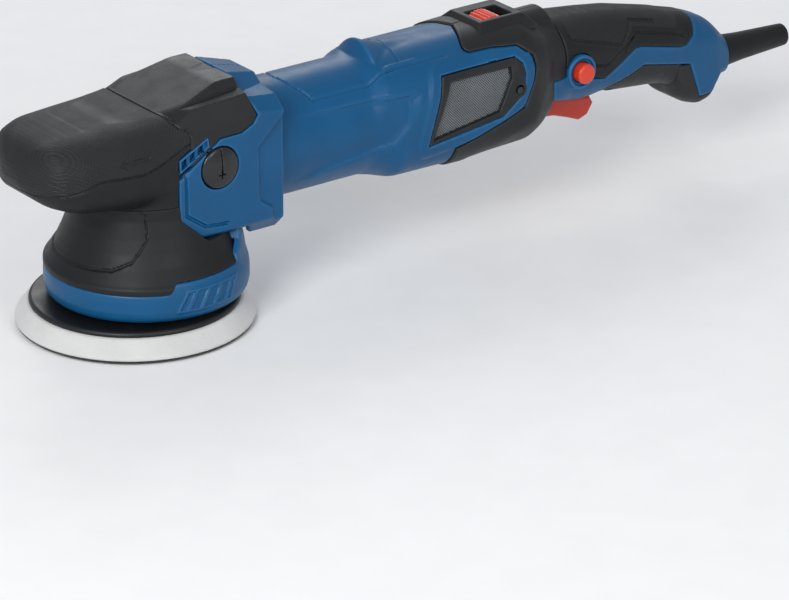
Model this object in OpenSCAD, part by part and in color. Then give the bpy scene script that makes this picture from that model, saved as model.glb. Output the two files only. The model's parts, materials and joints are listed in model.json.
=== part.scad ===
// Dual action polisher: corded, 15 mm orbit, 125 mm backing pad.
// Origin: on the main spindle axis, in the plane of the pad's hook face.
// +X points to the cord, +Y to the tool's right side, +Z up. Millimetres.

/* [Pad] */
// Diameter of the pad's hook face
pad_d = 125; // [120:1:128]
// Orbit diameter: twice the offset of the pad spindle
orbit = 15; // [12:0.5:16]
// Thickness of the foam layer
foam_t = 10; // [8:0.5:10]

/* [Gear head] */
// Outer radius of the shroud over the counterweight
shroud_r = 53; // [53:0.5:55]
// Outer radius of the gear case
case_r = 33; // [32.5:0.1:33.2]
// Half width of the blue head covers
head_hw = 37; // [36.5:0.1:38]
// Wall of the plastic covers
wall = 2.5; // [2:0.1:2.6]

/* [Motor] */
// Height of the motor axis above the hook face
motor_z = 81; // [80.5:0.1:81.5]
// Outer radius of the motor barrel
barrel_r = 32; // [31.9:0.05:32.2]
// Teeth on the ring gear
ring_teeth = 36; // [36]
// Teeth on the pinion
pinion_teeth = 10; // [10]

/* [Controls] */
// Radius of the speed dial
dial_r = 11; // [10.5:0.1:11]
// Radius of the lock button
button_r = 5.7; // [5.5:0.1:5.8]
// Half width of the trigger
trigger_hw = 8.5; // [8:0.1:8.6]

/* [Cord] */
// Diameter of the mains cord that the sleeve takes
cord_d = 8; // [7.5:0.1:8]

/* [Hidden] */
$fn = 48;
slice_t = 0.02;
pad_x = -orbit / 2;
pad_r = pad_d / 2;
hook_t = 1.5;
foam_top = hook_t + foam_t;
gear_ratio = ring_teeth / pinion_teeth;
cord_z = 60;
cord_bore_r = cord_d / 2 + 0.05;

// Half angles, from the rear, of the shroud's lip and of the part that closes the head
lip_half_angle = 105;
riser_half_angle = 55;
lip_z = 36.4;

// Sections of the covers: [x, half width, bottom z, top z, top radius, bottom radius]
HEAD = [[-34, 34, 60, 108, 14, 10], [-10, 36.5, 54, 116.5, 14, 9], [12, head_hw, 48, 122.5, 16, 8],
        [31, head_hw, 47.5, 128, 16, 8], [43, head_hw, 47, 128, 16, 8], [60, head_hw, 46, 122.5, 12, 10]];
HOOD = [[-79.5, 10, 89, 104, 7, 6], [-77.5, 21, 83, 108, 12, 10], [-71, 31, 77, 112.5, 18, 14],
        [-58, 38, 72.5, 115.5, 23, 16], [-38, 41, 71, 117, 24, 18], [-20, 41, 71.5, 117.5, 24, 18],
        [-6, 40, 76, 118, 21, 16]];
MOTOR = [[58, barrel_r, motor_z - barrel_r, motor_z + barrel_r, barrel_r, barrel_r],
         [126, barrel_r, motor_z - barrel_r, motor_z + barrel_r, barrel_r, barrel_r],
         [134, 32.8, 48, 114.2, 26, 27],
         [141, 33.5, 47, 115.5, 20, 22], [186, 33.5, 47, 115.5, 20, 20]];
REAR = [[186, 33.5, 47, 115.5, 20, 20], [232, 33, 48, 115, 20, 20], [246, 28, 55, 110, 18, 18],
        [262, 24, 57, 107.5, 19, 19], [300, 22, 55.5, 103.5, 19, 19], [330, 20.5, 53, 97.5, 18, 18],
        [347, 19, 51, 93.5, 16, 12], [353, 18.5, 43, 91.5, 16, 10], [362, 17.5, 36, 88.5, 15, 8],
        [371, 16, 33, 84, 14, 7], [380, 14.5, 37, 79, 12, 8], [389, 11.5, 50, 71.5, 9, 9]];

// ---------- helpers ----------
function arc(cx, cy, r, a0, a1, n) =
    [for (i = [0:n]) [cx + r * cos(a0 + (a1 - a0) * i / n), cy + r * sin(a0 + (a1 - a0) * i / n)]];

// Rounded rectangle across Y and Z with its own top and bottom corner radii
function section_pts(s, g) =
    let (w = s[1] - g, lo = s[2] + g, hi = s[3] - g,
         rt = max(0.5, s[4] - g), rb = max(0.5, s[5] - g), n = 5)
    concat(arc(w - rb, lo + rb, rb, -90, 0, n), arc(w - rt, hi - rt, rt, 0, 90, n),
           arc(-w + rt, hi - rt, rt, 90, 180, n), arc(-w + rb, lo + rb, rb, 180, 270, n));

module slice(s, g) {
    translate([s[0], 0, 0]) rotate([90, 0, 90])
        linear_extrude(slice_t) polygon(section_pts(s, g));
}

// Solid that runs smoothly through a list of sections, shrunk by g all round
module loft(list, g = 0) {
    for (i = [0:len(list) - 2]) hull() {
        slice(list[i], g);
        slice(list[i + 1], g);
    }
}

// Section list with its two end sections moved along X, to open or close a shell's ends
function stretch(list, front, back) =
    [for (i = [0:len(list) - 1])
        let (s = list[i], d = i == 0 ? -front : (i == len(list) - 1 ? back : 0))
        [s[0] + d, s[1], s[2], s[3], s[4], s[5]]];

// Prism across the tool, drawn as an outline in X and Z
module side_zone(pts, y0 = -60, y1 = 60) {
    translate([0, y1, 0]) rotate([90, 0, 0]) linear_extrude(y1 - y0) polygon(pts);
}

module half(side) {
    translate([-200, side < 0 ? -100 : 0, -50]) cube([700, 100, 300]);
}

module x_cyl(r, x0, x1, y = 0, z = motor_z) {
    translate([x0, y, z]) rotate([0, 90, 0]) cylinder(r = r, h = x1 - x0);
}

module y_cyl(r, y0, y1, x, z) {
    translate([x, y1, z]) rotate([90, 0, 0]) cylinder(r = r, h = y1 - y0);
}

module z_cyl(r, z0, z1, x = 0, y = 0) {
    translate([x, y, z0]) cylinder(r = r, h = z1 - z0);
}

module z_ring(ro, ri, z0, z1, x = 0) {
    translate([x, 0, z0]) difference() {
        cylinder(r = ro, h = z1 - z0);
        translate([0, 0, -1]) cylinder(r = ri, h = z1 - z0 + 2);
    }
}

module x_ring(ro, ri, x0, x1) {
    difference() {
        x_cyl(ro, x0, x1);
        x_cyl(ri, x0 - 1, x1 + 1);
    }
}

// Inner race with its balls, which roll just clear of the outer race
module race_and_balls(ri, ball_at, ball_r, h, rows = 1, n = 9) {
    difference() {
        cylinder(r = ball_at - 0.6 * ball_r, h = h);
        translate([0, 0, -1]) cylinder(r = ri, h = h + 2);
    }
    for (k = [1:rows], i = [0:n - 1])
        rotate(360 / n * i) translate([ball_at, 0, h * (k - 0.5) / rows]) sphere(r = ball_r, $fn = 24);
}

// One tooth pitch as four corners: root, rise, tip, fall
function tooth_pts(n, centre) =
    [for (i = [0:n - 1], k = [-0.26, -0.12, 0.12, 0.26])
        [centre + 360 / n * (i + k), abs(k) < 0.2 ? 1 : 0]];

// Toothed cone between two ends; ends = [[position, root, tip], [position, root, tip]]
module tooth_cone(n, centre, ends, core) {
    t = tooth_pts(n, centre);
    m = len(t);
    pts = concat(
        [for (e = ends, p = t) let (r = p[1] > 0.5 ? e[2] : e[1]) [r * cos(p[0]), r * sin(p[0]), e[0]]],
        [for (e = ends, p = t) [core * cos(p[0]), core * sin(p[0]), e[0]]]);
    // Rings of points: 0 outer start, 1 outer end, 2 inner start, 3 inner end
    faces = [for (i = [0:m - 1]) let (j = (i + 1) % m) each
        [[i, i + m, j], [j, i + m, j + m],
         [i + 2 * m, j + 2 * m, i + 3 * m], [j + 2 * m, j + 3 * m, i + 3 * m],
         [i, j, i + 2 * m], [j, j + 2 * m, i + 2 * m],
         [i + m, i + 3 * m, j + m], [j + m, i + 3 * m, j + 3 * m]]];
    polyhedron(points = pts, faces = faces, convexity = 8);
}

// ---------- pad, which spins freely on the offset spindle ----------
module hook_face() {
    color("#1c1c1e") z_cyl(pad_r - 0.6, 0, hook_t, pad_x);
}

module pad_foam() {
    color("#d4d4d2") translate([pad_x, 0, 0]) rotate_extrude($fn = 96)
        polygon([[0, hook_t], [pad_r, hook_t], [pad_r, hook_t + 2.2], [56, foam_top], [0, foam_top]]);
}

module backing_plate() {
    hub_r = 16;
    color("#1b1c1e") translate([pad_x, 0, 0]) difference() {
        rotate_extrude($fn = 96)
            polygon([[0, foam_top], [55, foam_top], [55, foam_top + 2.2], [53.5, foam_top + 3],
                     [47, foam_top + 2.4], [24, foam_top + 2.4], [hub_r, foam_top + 5], [hub_r, 20], [0, 20]]);
        translate([0, 0, foam_top + 1]) cylinder(r = 10, h = 3);
        translate([0, 0, foam_top + 2]) cylinder(r = 5, h = 20);
    }
}

// Spindle with its moulded-in stud foot, which carries the backing plate
module pad_spindle() {
    color("#b9bcc0") translate([pad_x, 0, 0]) {
        translate([0, 0, foam_top + 1]) cylinder(r = 10, h = 3);
        translate([0, 0, foam_top + 3.5]) cylinder(r = 5, h = 6);
        translate([0, 0, 20]) cylinder(r = 11, h = 4);
        translate([0, 0, 23.5]) cylinder(r = 7, h = 18);
    }
}

module pad_bearing_inner() {
    color("#c9ccd0") translate([pad_x, 0, 24.5]) race_and_balls(7, 11.6, 2.2, 16, rows = 2, n = 10);
}

// ---------- eccentric: main spindle, counterweight and ring gear ----------
module pad_bearing_outer() {
    color("#c9ccd0") z_ring(17, 14.1, 24.5, 40.5, pad_x);
}

module counterweight() {
    hub_r = 20.5;
    color("#8b8f94") difference() {
        union() {
            z_cyl(hub_r, 23.5, 45, pad_x);
            z_cyl(14, 40, 49);
            translate([0, 0, 28]) rotate([0, 0, -78]) rotate_extrude(angle = 156)
                polygon([[10, 0], [41, 0], [41, 10], [37, 13.5], [10, 13.5]]);
        }
        z_cyl(17, 10, 40.5, pad_x);
        z_cyl(12, 40, 42, pad_x);
        z_cyl(7.5, 43.5, 50);
    }
}

module main_spindle() {
    color("#b4b7bb") {
        z_cyl(7.5, 43.5, 92);
        z_cyl(5, 91, 101.8);
    }
}

module ring_gear() {
    // Pitch cone: height falls with radius by one part in gear_ratio
    function pitch_h(r) = motor_z - r / gear_ratio;
    r0 = 19;
    r1 = 28;
    t = tooth_pts(ring_teeth, 180 / ring_teeth);
    m = len(t);
    base_z = 66;
    function top_z(r, tip) = pitch_h(r) + (tip > 0.5 ? 1.1 : -1.5) * r / 23;
    pts = concat([for (r = [r0, r1], p = t) [r * cos(p[0]), r * sin(p[0]), top_z(r, p[1])]],
                 [for (r = [r0, r1], p = t) [r * cos(p[0]), r * sin(p[0]), base_z]]);
    faces = [for (i = [0:m - 1]) let (j = (i + 1) % m) each
        [[i, j, i + m], [j, j + m, i + m],
         [i + 2 * m, i + 3 * m, j + 2 * m], [j + 2 * m, i + 3 * m, j + 3 * m],
         [i, i + 2 * m, j], [j, i + 2 * m, j + 2 * m],
         [i + m, j + m, i + 3 * m], [j + m, j + 3 * m, i + 3 * m]]];
    color("#7d8186") {
        polyhedron(points = pts, faces = faces, convexity = 8);
        z_ring(r1 + 0.6, 7.5, 62, 66.5);
        z_ring(13, 7.5, 61, 72);
    }
}

module lower_bearing_inner() {
    color("#c9ccd0") translate([0, 0, 50]) race_and_balls(7.5, 12.4, 2.2, 10);
}

module upper_bearing_inner() {
    color("#c9ccd0") translate([0, 0, 94]) race_and_balls(5, 8.9, 1.7, 8);
}

// ---------- gear head ----------
module lower_bearing_outer() {
    color("#c9ccd0") z_ring(17.8, 14.9, 50, 60);
}

module upper_bearing_outer() {
    color("#c9ccd0") z_ring(13, 10.9, 94, 102);
}

module case_screw_places() {
    for (y = [-27, 27], z = [54, 112]) translate([0, y, z]) children();
}

module bearing_plate() {
    color("#9a9da1") difference() {
        union() {
            z_cyl(36, 47.5, 56.8);
            z_cyl(21, 56, 60);
        }
        z_cyl(17.8, 50, 61);
        z_cyl(16.2, 47, 51);
        z_cyl(30.5, 46, 48.8);
    }
}

module gear_case() {
    color("#a4a7ab") difference() {
        union() {
            z_cyl(case_r, 57, 98);
            z_cyl(18, 97, 106);
            x_cyl(26, 10, 54);
            side_plate(50, 56, 32.5, 49.5, 116);
        }
        z_cyl(29.5, 50, 92);
        z_cyl(36.5, 40, 57);
        z_cyl(13, 94, 102);
        z_cyl(9, 91, 95);
        x_cyl(14, 36, 45);
        x_cyl(11, 20, 37);
        x_cyl(11.5, 44, 51);
        x_cyl(24, 49.5, 57);
        case_screw_places() x_cyl(2.2, 40, 60, 0, 0);
        for (s = [-1, 1]) y_cyl(4, s > 0 ? 20 : -40, s > 0 ? 40 : -20, plug_x, plug_z);
    }
}

// Upright plate across the tool with rounded corners
module side_plate(x0, x1, hw, z0, z1, r = 8) {
    translate([x0, 0, 0]) rotate([90, 0, 90]) linear_extrude(x1 - x0)
        polygon(section_pts([0, hw, z0, z1, r, r], 0));
}

module gear_case_screws() {
    color("#55585c") case_screw_places() {
        x_cyl(2, 44.5, 58.8, 0, 0);
        x_cyl(3.8, 44, 49.9, 0, 0);
    }
}

// Part turn about the spindle axis, the same distance to both sides of the rear
module rear_turn(half_angle) {
    rotate([0, 0, -half_angle]) rotate_extrude(angle = 2 * half_angle, $fn = 96) children();
}

// Ring over the counterweight: its lip is higher along the sides, and it closes the head at the rear
module shroud() {
    r = shroud_r;
    color("#1a5f93") {
        rotate_extrude($fn = 96) polygon([[r - 3.2, 16.6], [r, 22], [r, 28], [r - 0.6, 31.4],
            [r - 3.1, 31.4], [r - 2.7, 28], [r - 2.7, 23], [r - 5.4, 17.6]]);
        rear_turn(lip_half_angle)
            polygon([[r - 0.7, 31], [r - 1.9, lip_z], [r - 4.4, lip_z], [r - 3.2, 31]]);
        rear_turn(riser_half_angle)
            polygon([[r - 1.7, lip_z - 0.5], [r - 3, 40], [r - 7, 44], [36.2, 46.4], [36.2, 43.9],
                     [r - 8.4, 41.8], [r - 5.5, 38.8], [r - 4.2, lip_z - 0.5]]);
    }
}

module head_boot() {
    r = shroud_r;
    gap = 0.4;
    start = riser_half_angle + gap;
    color("#1d1f21") difference() {
        rotate([0, 0, start]) rotate_extrude(angle = 360 - 2 * start, $fn = 96)
            polygon([[r - 0.4, 31.6], [r - 3.5, 37], [r - 10, 47], [r - 14.5, 57], [36.9, 70], [36.9, 80],
                     [34.6, 80], [34.6, 70], [36.2, 57], [r - 12.5, 46], [r - 6, 36.4], [r - 3, 31.6]]);
        rear_turn(lip_half_angle + gap) translate([40, 25]) square([20, lip_z + 0.2 - 25]);
        translate([-5.6, -60, 46.2]) cube([60, 120, 40]);
    }
}

// Centre and radius of the round plugs on the head's sides
plug_x = 21.5;
plug_z = 87.8;
plug_r = 11.2;
// Front plane of the head covers, just behind the palm grip
cover_x = -5.2;
COVER_ZONE = [[-10, 80], [22, 104], [35, 104], [45, 110], [36, 150], [-10, 150]];
VENT = [[-2.5, 90.3], [-2.5, 96.7], [14.6, 105.2], [15.1, 100.8]];

module head_shell() {
    difference() {
        loft(HEAD);
        loft(stretch(HEAD, 2, 2), wall);
        z_cyl(36.3, 30, 57);
        translate([-70, -60, 40]) cube([70 + cover_x, 120, 110]);
    }
}

module palm_grip() {
    color("#242628") difference() {
        loft(HOOD);
        loft(stretch(HOOD, -3, 2), 3);
        z_cyl(37.8, 60, 84);
        side_zone([[-5.9, 60], [-5.9, 140], [5, 140], [5, 60]]);
    }
}

module top_cover() {
    color("#1f2123") difference() {
        intersection() {
            head_shell();
            side_zone(COVER_ZONE);
        }
        for (s = [-1, 1]) side_zone(VENT, s > 0 ? 30 : -40, s > 0 ? 40 : -30);
    }
}

module vent_insert(side) {
    color("#1a5f93") difference() {
        side_zone(VENT, side > 0 ? 33 : -36.2, side > 0 ? 36.2 : -33);
        for (i = [0:2]) translate([5.2 * i, 0, 2.9 * i])
            side_zone([[-0.5, 93], [-0.5, 95.6], [2.7, 97.2], [2.7, 94.6]], -50, 50);
    }
}
module vent_insert_left() { vent_insert(-1); }
module vent_insert_right() { vent_insert(1); }

module head_cover(side) {
    color("#1a5f93") difference() {
        intersection() {
            head_shell();
            half(side);
        }
        side_zone(COVER_ZONE);
        y_cyl(plug_r + 0.3, -60, 60, plug_x, plug_z);
    }
}
module head_cover_left() { head_cover(-1); }
module head_cover_right() { head_cover(1); }

module side_plug(side) {
    translate([plug_x, 0, plug_z]) rotate([side * -90, 0, 0]) difference() {
        union() {
            translate([0, 0, 27]) cylinder(r = 3.9, h = 8);
            translate([0, 0, 34.6]) cylinder(r = plug_r, h = 3);
        }
        translate([-1, -plug_r - 1, 36.4]) cube([2, 2 * plug_r + 2, 3]);
    }
}

module side_plugs() {
    color("#141516") {
        side_plug(-1);
        side_plug(1);
    }
}

// ---------- armature ----------
module armature_shaft() {
    color("#b4b7bb") {
        x_cyl(4, 17, 37);
        x_cyl(6, 31.5, 172);
        x_cyl(5, 171, 190);
    }
}

module pinion() {
    function end(x) = [x, x / gear_ratio - 1.5 * x / 23, x / gear_ratio + 1.1 * x / 23];
    color("#7d8186") translate([0, 0, motor_z]) rotate([0, 90, 0])
        tooth_cone(pinion_teeth, 0, [end(19), end(28.5)], 4.05);
}

module armature_core() {
    color("#6d7175") difference() {
        x_cyl(22, 84, 134);
        x_cyl(6, 83, 135);
        for (i = [0:11]) translate([83, 0, motor_z]) rotate([30 * i, 0, 0])
            translate([0, -0.9, 19]) cube([52, 1.8, 4]);
    }
}

module armature_windings() {
    color("#b0642a") {
        x_ring(19, 6, 74, 84);
        x_ring(19, 6, 134, 145);
    }
}

module commutator() {
    color("#c08a52") difference() {
        x_ring(13, 6, 147, 166);
        for (i = [0:23]) translate([149, 0, motor_z]) rotate([15 * i, 0, 0])
            translate([0, -0.25, 12]) cube([20, 0.5, 2]);
    }
    color("#303030") x_ring(10, 6, 166, 170);
}

module cooling_fan() {
    color("#2b2d30") {
        x_ring(9, 6, 59, 70);
        x_ring(27, 8.5, 59, 61);
        for (i = [0:12]) translate([60.5, 0, motor_z]) rotate([360 / 13 * i, 0, 0])
            translate([0, -0.8, 8.5]) cube([8.5, 1.6, 18]);
    }
}

module front_bearing_inner() {
    color("#c9ccd0") translate([36, 0, motor_z]) rotate([0, 90, 0]) race_and_balls(6, 9.3, 1.7, 8);
}

module front_bearing_outer() {
    color("#c9ccd0") x_ring(14, 11.4, 36, 44);
}

module rear_bearing_inner() {
    color("#c9ccd0") translate([176, 0, motor_z]) rotate([0, 90, 0]) race_and_balls(5, 7.9, 1.5, 7);
}

module rear_bearing_outer() {
    color("#c9ccd0") x_ring(12, 9.8, 176, 183);
}

// ---------- motor ----------
FILTER = [[157, 66], [168, 102], [216, 103], [221, 99], [222, 84], [207, 72]];
FILTER_NET = [[161, 69], [171, 97.5], [213, 98], [213, 90], [203, 75]];

module motor_housing() {
    color("#1a5f93") difference() {
        union() {
            loft(MOTOR);
            side_plate(56, 59.8, 33.8, 50, 117);
        }
        difference() {
            loft(stretch(MOTOR, 2, 2), wall);
            x_ring(33, 29.6, 150, 184);
        }
        x_cyl(29.5, 50, 129);
        case_screw_places() x_cyl(2.2, 50, 59, 0, 0);
        side_zone(FILTER, 25, 50);
        side_zone(FILTER, -50, -25);
    }
}

module x_sector(r0, r1, a0, a1, x0, x1) {
    translate([x0, 0, motor_z]) rotate([90, 0, 90]) rotate([0, 0, a0])
        rotate_extrude(angle = a1 - a0) translate([r0, 0]) square([r1 - r0, x1 - x0]);
}

// The long sides of both coils, which lie in the stator's slots
module coil_runs(x0, x1) {
    for (c = [0, 180]) {
        x_sector(23.6, 27.2, c + 50, c + 64, x0, x1);
        x_sector(23.6, 27.2, c + 116, c + 130, x0, x1);
    }
}

module stator_core() {
    color("#6d7175") difference() {
        x_ring(29.4, 22.8, 84, 134);
        coil_runs(83, 135);
    }
}

module field_coils() {
    color("#b0642a") {
        coil_runs(80, 138);
        for (c = [0, 180], x = [78, 136]) x_sector(23.3, 27.5, c + 49, c + 131, x, x + 4);
    }
}

module air_baffle() {
    color("#2b2d30") x_ring(29.4, 21, 71, 73);
}

module bearing_bracket() {
    color("#2b2d30") {
        x_ring(15, 12, 175, 184);
        for (a = [45:90:315]) translate([175, 0, motor_z]) rotate([a, 0, 0])
            translate([0, -3, 14.5]) cube([9, 6, 15]);
    }
}

module brush_sides() {
    for (s = [-1, 1]) scale([1, s, 1]) children();
}

module brush_holders() {
    color("#a98446") brush_sides() difference() {
        translate([150, 14.2, motor_z - 5.5]) cube([13, 14, 11]);
        translate([151.5, 14, motor_z - 4]) cube([10, 13, 8]);
    }
}

module carbon_brushes() {
    color("#2a2a2c") brush_sides() translate([151.5, 13.3, motor_z - 4]) cube([10, 12.5, 8]);
}

// ---------- rear housing and handle ----------
GRIP_ZONE = [[255, 130], [255, 81], [281, 74], [286, 72.7], [307, 85.4], [311, 85.5], [341, 78], [346, 78],
             [354, 83], [358, 87], [366, 89], [366, 130]];
TRIM_ZONE = [[245, 52], [245, 81], [255, 81], [281, 74], [286, 72.7], [307, 85.4], [311, 85.5], [341, 78],
             [346, 78], [354, 83], [358, 87], [366, 89], [366, 130], [400, 130], [400, 46], [366, 46],
             [357, 44], [349, 65.8], [313.4, 74.2], [290, 65], [290, 52]];
HOOK_ZONE = [[340, 20], [340, 68], [349, 65.8], [357, 44], [366, 46], [400, 46], [400, 20]];
// Thickness of the overmoulded skins
skin_t = 1.2;
button_x = 266.5;
button_z = 82;
boss_r = 9.6;
dial_x = 217.5;
dial_y = -3;
dial_z = 109;

screw_places = [[241, 96], [300, 70], [338, 70]];
pin_x = 250;
pin_z = 59.3;

// Whole wall of the rear housing and handle, with its screw bosses and trigger ribs
module rear_wall() {
    difference() {
        union() {
            difference() {
                loft(REAR);
                loft(stretch(REAR, 2, -3), wall);
            }
            intersection() {
                loft(REAR, 1);
                union() {
                    for (p = screw_places) y_cyl(3.6, -40, 40, p[0], p[1]);
                    for (s = [-1, 1]) translate([245.6, s > 0 ? 9 : -14, 54]) cube([9, 5, 10]);
                }
            }
        }
        for (p = screw_places) y_cyl(1.9, -15, 15, p[0], p[1]);
        y_cyl(2.1, -14, 14, pin_x, pin_z);
        x_cyl(7.6, 370, 400, 0, cord_z);
        translate([245.5, -trigger_hw - 0.8, 40]) cube([46, 2 * trigger_hw + 1.6, 28]);
        translate([dial_x - 11.5, dial_y - 6.5, 105]) cube([23, 13, 20]);
    }
}

module button_hole() {
    y_cyl(button_r + 0.5, -50, 0, button_x, button_z);
}

// What lies under the overmoulded grip, the blue trim and the hook
module rear_core() {
    loft(stretch(REAR, 2, -skin_t), skin_t);
}

module rear_shell(side) {
    color("#1f2123") difference() {
        intersection() {
            rear_wall();
            half(side);
        }
        difference() {
            union() {
                side_zone(GRIP_ZONE);
                side_zone(TRIM_ZONE);
                side_zone(HOOK_ZONE);
            }
            rear_core();
        }
        side_zone(FILTER, side > 0 ? 25 : -50, side > 0 ? 50 : -25);
        button_hole();
    }
}
module rear_shell_left() { rear_shell(-1); }
module rear_shell_right() { rear_shell(1); }

module rear_skin(zone) {
    difference() {
        intersection() {
            rear_wall();
            side_zone(zone);
        }
        rear_core();
    }
}

module handle_grip() {
    color("#26282a") difference() {
        rear_skin(GRIP_ZONE);
        y_cyl(boss_r + 0.2, -50, 0, button_x, button_z);
    }
}

module handle_trim() {
    color("#1a5f93") difference() {
        union() {
            rear_skin(TRIM_ZONE);
            difference() {
                y_cyl(boss_r, -27.5, -22.5, button_x, button_z);
                rear_core();
            }
        }
        button_hole();
    }
}

module tail_hook() {
    color("#17181a") rear_skin(HOOK_ZONE);
}

module dial_plate() {
    color("#1f2123") difference() {
        side_zone([[203.5, 115.5], [206, 118.6], [234.5, 118.6], [237, 115.5]], -14, 14);
        translate([dial_x - 9.5, dial_y - 6.2, 110]) cube([19, 12.4, 20]);
    }
}

module speed_dial() {
    ridges = 22;
    knurl = [for (i = [0:ridges - 1], k = [0, 0.25, 0.5, 0.75])
        let (r = k < 0.4 ? dial_r : dial_r - 0.7) [r * cos(360 / ridges * (i + k)), r * sin(360 / ridges * (i + k))]];
    color("#d8381c") translate([dial_x, dial_y + 5.5, dial_z]) rotate([90, 0, 0]) difference() {
        linear_extrude(11) polygon(knurl);
        translate([0, 0, -1]) cylinder(r = 2.05, h = 13);
    }
}

module dial_axle() {
    color("#9a9da1") {
        y_cyl(2, dial_y - 9, dial_y + 9, dial_x, dial_z);
        difference() {
            translate([dial_x - 4, dial_y - 8.5, 92]) cube([8, 17, 20]);
            translate([dial_x - 5, dial_y - 6.5, 95]) cube([10, 13, 20]);
        }
    }
}

module filter(side) {
    y0 = side > 0 ? 30.5 : -35.5;
    color("#1f2123") difference() {
        side_zone(FILTER, y0, y0 + 5);
        side_zone(FILTER_NET, -60, 60);
        y_cyl(2.1, -60, 60, 217, 85);
    }
    color("#3a3d40") side_zone(FILTER_NET, side > 0 ? 31.5 : -33.5, side > 0 ? 33.5 : -31.5);
}
module filter_left() { filter(-1); }
module filter_right() { filter(1); }

module filter_screws() {
    color("#55585c") brush_sides() {
        y_cyl(2, 26, 35.2, 217, 85);
    }
}

module speed_controller() {
    color("#1c3a2a") {
        translate([194, -26, 57.5]) cube([36, 52, 1.6]);
        translate([198, -15, 58.9]) cube([28, 20, 9]);
        translate([200, 8, 58.9]) cube([24, 8, 14]);
    }
}

module switch_body() {
    color("#2b2d30") {
        translate([252, -10.5, 72]) cube([44, 21, 24]);
        translate([276, -4, 69]) cube([8, 8, 3.5]);
    }
}

module trigger() {
    color("#b3261a") difference() {
        side_zone([[247.5, 56], [247.5, 62], [252, 63], [286.5, 60], [289, 53], [285, 47], [279.5, 45],
                   [272, 48.5], [262, 52.5], [253, 53.5]], -trigger_hw, trigger_hw);
        y_cyl(2.05, -20, 20, pin_x, pin_z);
        translate([256, -6, 56]) cube([24, 12, 10]);
    }
}

module trigger_pin() {
    color("#9a9da1") y_cyl(2, -13.8, 13.8, pin_x, pin_z);
}

module lock_button() {
    color("#d8441f") difference() {
        union() {
            y_cyl(button_r, -31.5, -15.5, button_x, button_z);
            y_cyl(button_r + 1.6, -17.5, -15.5, button_x, button_z);
        }
        y_cyl(3.4, -27, -15, button_x, button_z);
    }
}

module handle_screws() {
    color("#55585c") for (p = screw_places) y_cyl(1.9, -14.8, 14.8, p[0], p[1]);
}

module cord_sleeve() {
    z0 = 376;
    color("#141516") translate([0, 0, cord_z]) rotate([0, 90, 0]) rotate_extrude()
        polygon([[cord_bore_r, z0], [9.5, z0], [9.5, z0 + 4], [7.4, z0 + 4], [7.4, 390], [9.4, 390], [9, 394],
                 [7, 399], [6.6, 420], [6.1, 432.5], [cord_bore_r, 432.5]]);
}

hook_face();
pad_foam();
backing_plate();
pad_spindle();
pad_bearing_inner();
pad_bearing_outer();
counterweight();
main_spindle();
ring_gear();
lower_bearing_inner();
lower_bearing_outer();
upper_bearing_inner();
upper_bearing_outer();
bearing_plate();
gear_case();
gear_case_screws();
shroud();
head_boot();
palm_grip();
top_cover();
head_cover_left();
head_cover_right();
vent_insert_left();
vent_insert_right();
side_plugs();
armature_shaft();
pinion();
armature_core();
armature_windings();
commutator();
cooling_fan();
front_bearing_inner();
front_bearing_outer();
rear_bearing_inner();
rear_bearing_outer();
motor_housing();
stator_core();
field_coils();
air_baffle();
bearing_bracket();
brush_holders();
carbon_brushes();
rear_shell_left();
rear_shell_right();
dial_plate();
speed_dial();
dial_axle();
filter_left();
filter_right();
filter_screws();
speed_controller();
switch_body();
trigger();
trigger_pin();
lock_button();
handle_grip();
handle_trim();
tail_hook();
handle_screws();
cord_sleeve();
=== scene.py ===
"""Dual action polisher: detailed visual pieces over the CAD frame. Lengths in the forms are millimetres."""
import json
import math

import bpy
import numpy as np
from mathutils import Matrix, Vector


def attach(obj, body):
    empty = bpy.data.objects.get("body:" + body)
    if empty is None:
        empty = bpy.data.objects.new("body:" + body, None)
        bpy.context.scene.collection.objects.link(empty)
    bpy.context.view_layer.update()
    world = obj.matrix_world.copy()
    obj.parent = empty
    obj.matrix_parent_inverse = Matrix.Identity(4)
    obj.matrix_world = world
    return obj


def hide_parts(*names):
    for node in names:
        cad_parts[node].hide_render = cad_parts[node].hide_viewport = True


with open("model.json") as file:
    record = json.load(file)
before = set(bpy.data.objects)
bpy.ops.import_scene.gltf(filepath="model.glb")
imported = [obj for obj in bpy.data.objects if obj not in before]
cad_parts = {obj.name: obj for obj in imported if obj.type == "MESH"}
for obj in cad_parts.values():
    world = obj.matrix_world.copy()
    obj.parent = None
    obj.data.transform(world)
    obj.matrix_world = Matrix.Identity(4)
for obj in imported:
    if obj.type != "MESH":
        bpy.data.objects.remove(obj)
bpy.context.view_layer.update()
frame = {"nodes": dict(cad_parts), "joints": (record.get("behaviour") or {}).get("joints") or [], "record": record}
MM = 0.001


def place_of(rows, name):
    """Place of the joint or mount of that name, in millimetres."""
    row = next(r for r in rows if r["name"] == name)
    return [round(v / MM, 3) for v in row["pos_m"]]


PAD_X = place_of(frame["joints"], "pad_spin")[0]
MOTOR_Z = place_of(frame["joints"], "armature_spin")[2]
DIAL_X, DIAL_Y, DIAL_Z = place_of(frame["joints"], "dial_turn")
TRIGGER_X, _, TRIGGER_Z = place_of(frame["joints"], "trigger_pull")
CORD_Z = place_of(frame["record"]["mounts"], "cord_entry")[2]


# ---------- distance fields ----------
def smax(a, b, k):
    """Intersection of two forms with an edge of radius about k."""
    h = np.maximum(k - np.abs(a - b), 0) / k
    return np.maximum(a, b) + h * h * k / 4


def smin(a, b, k):
    """Union of two forms with a fillet of radius about k."""
    return -smax(-a, -b, k)


def seq_max(k, *fields):
    """Intersection of several forms, one after the other."""
    out = fields[0]
    for f in fields[1:]:
        out = smax(out, f, k)
    return out


RAIL_STEP = 0.5
RAIL_MARGIN = 30
rail_tables = {}


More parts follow.
